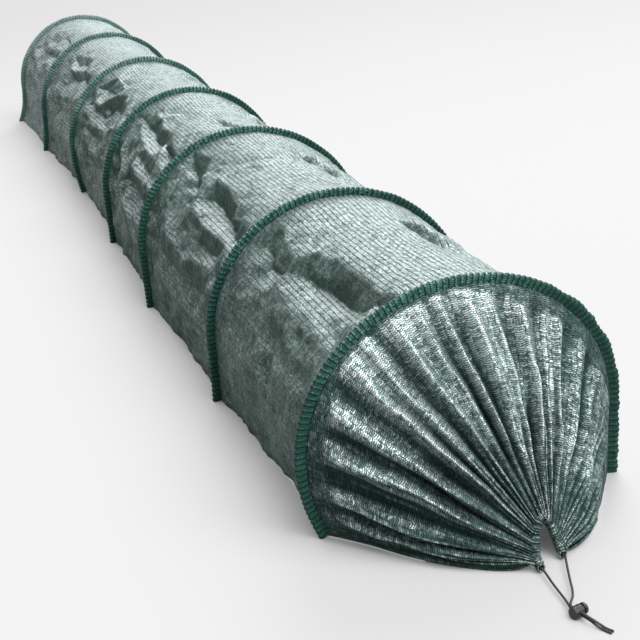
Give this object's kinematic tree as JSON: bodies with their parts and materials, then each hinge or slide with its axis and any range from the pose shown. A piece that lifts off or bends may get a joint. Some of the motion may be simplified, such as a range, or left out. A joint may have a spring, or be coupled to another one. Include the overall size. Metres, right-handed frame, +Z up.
{
  "type": "row cover tunnel",
  "caption": "Hooped garden row cover tunnel of knitted shade cloth in bays, both ends gathered into casings, with a drawstring and a sprung cord lock at one end.",
  "frame": {"origin": "on the ground at the middle of the row, half way between the two end hoops", "axes": "+Y along the row from the drawstring end to the far end, +X to the right seen from the drawstring end, +Z up"},
  "size_m": [0.479, 3.517, 0.3356],
  "materials": {
    "shade_cloth": "knitted flat plastic tapes, satin sheen",
    "sleeve_cloth": "dense knitted cloth, dull",
    "galvanised_wire": "galvanised, dull",
    "drawstring": "braided cord, matt",
    "lock_plastic": "moulded, satin",
    "spring_steel": "bright wire"
  },
  "bodies": {
    "station_1": {"hoop_1": "galvanised_wire", "sleeve_1": "sleeve_cloth", "cover_bay_1": "shade_cloth", "near_end_skirt": "shade_cloth"},
    "station_2": {"hoop_2": "galvanised_wire", "sleeve_2": "sleeve_cloth", "cover_bay_2": "shade_cloth"},
    "station_3": {"hoop_3": "galvanised_wire", "sleeve_3": "sleeve_cloth", "cover_bay_3": "shade_cloth"},
    "station_4": {"hoop_4": "galvanised_wire", "sleeve_4": "sleeve_cloth", "cover_bay_4": "shade_cloth"},
    "station_5": {"hoop_5": "galvanised_wire", "sleeve_5": "sleeve_cloth", "cover_bay_5": "shade_cloth"},
    "station_6": {"hoop_6": "galvanised_wire", "sleeve_6": "sleeve_cloth", "cover_bay_6": "shade_cloth"},
    "station_7": {"hoop_7": "galvanised_wire", "sleeve_7": "sleeve_cloth", "far_end_skirt": "shade_cloth"},
    "near_mouth": {"near_casing": "shade_cloth", "drawstring_in_casing": "drawstring", "drawstring_left": "drawstring", "drawstring_right": "drawstring"},
    "far_mouth": {"far_casing": "shade_cloth"},
    "cord_lock": {"lock_barrel": "lock_plastic", "lock_spring": "spring_steel"},
    "button": {"lock_button": "lock_plastic"}
  },
  "joints": [
    {"name": "bay_1_fold", "type": "slide", "parent": "station_1", "child": "station_2", "axis": [0, -1, 0], "range_m": [0, 0.44], "deforming": ["cover_bay_1"]},
    {"name": "bay_2_fold", "type": "slide", "parent": "station_2", "child": "station_3", "axis": [0, -1, 0], "range_m": [0, 0.455], "deforming": ["cover_bay_2"]},
    {"name": "bay_3_fold", "type": "slide", "parent": "station_3", "child": "station_4", "axis": [0, -1, 0], "range_m": [0, 0.44], "deforming": ["cover_bay_3"]},
    {"name": "bay_4_fold", "type": "slide", "parent": "station_4", "child": "station_5", "axis": [0, -1, 0], "range_m": [0, 0.47], "deforming": ["cover_bay_4"]},
    {"name": "bay_5_fold", "type": "slide", "parent": "station_5", "child": "station_6", "axis": [0, -1, 0], "range_m": [0, 0.505], "deforming": ["cover_bay_5"]},
    {"name": "bay_6_fold", "type": "slide", "parent": "station_6", "child": "station_7", "axis": [0, -1, 0], "range_m": [0, 0.475], "deforming": ["cover_bay_6"]},
    {"name": "near_skirt_fold", "type": "slide", "parent": "station_1", "child": "near_mouth", "axis": [0, 1, 0], "range_m": [0, 0.13], "deforming": ["near_end_skirt"]},
    {"name": "far_skirt_fold", "type": "slide", "parent": "station_7", "child": "far_mouth", "axis": [0, -1, 0], "range_m": [0, 0.13], "deforming": ["far_end_skirt"]},
    {"name": "cord_lock_slide", "type": "slide", "parent": "near_mouth", "child": "cord_lock", "axis": [0.2588, -0.9659, 0], "range_m": [0, 0.012]},
    {"name": "button_press", "type": "slide", "parent": "cord_lock", "child": "button", "axis": [-0.9659, -0.2588, 0], "range_m": [0, 0.0026], "stiffness_N_per_m": 600, "springref_m": -0.002, "deforming": ["lock_spring"]}
  ]
}
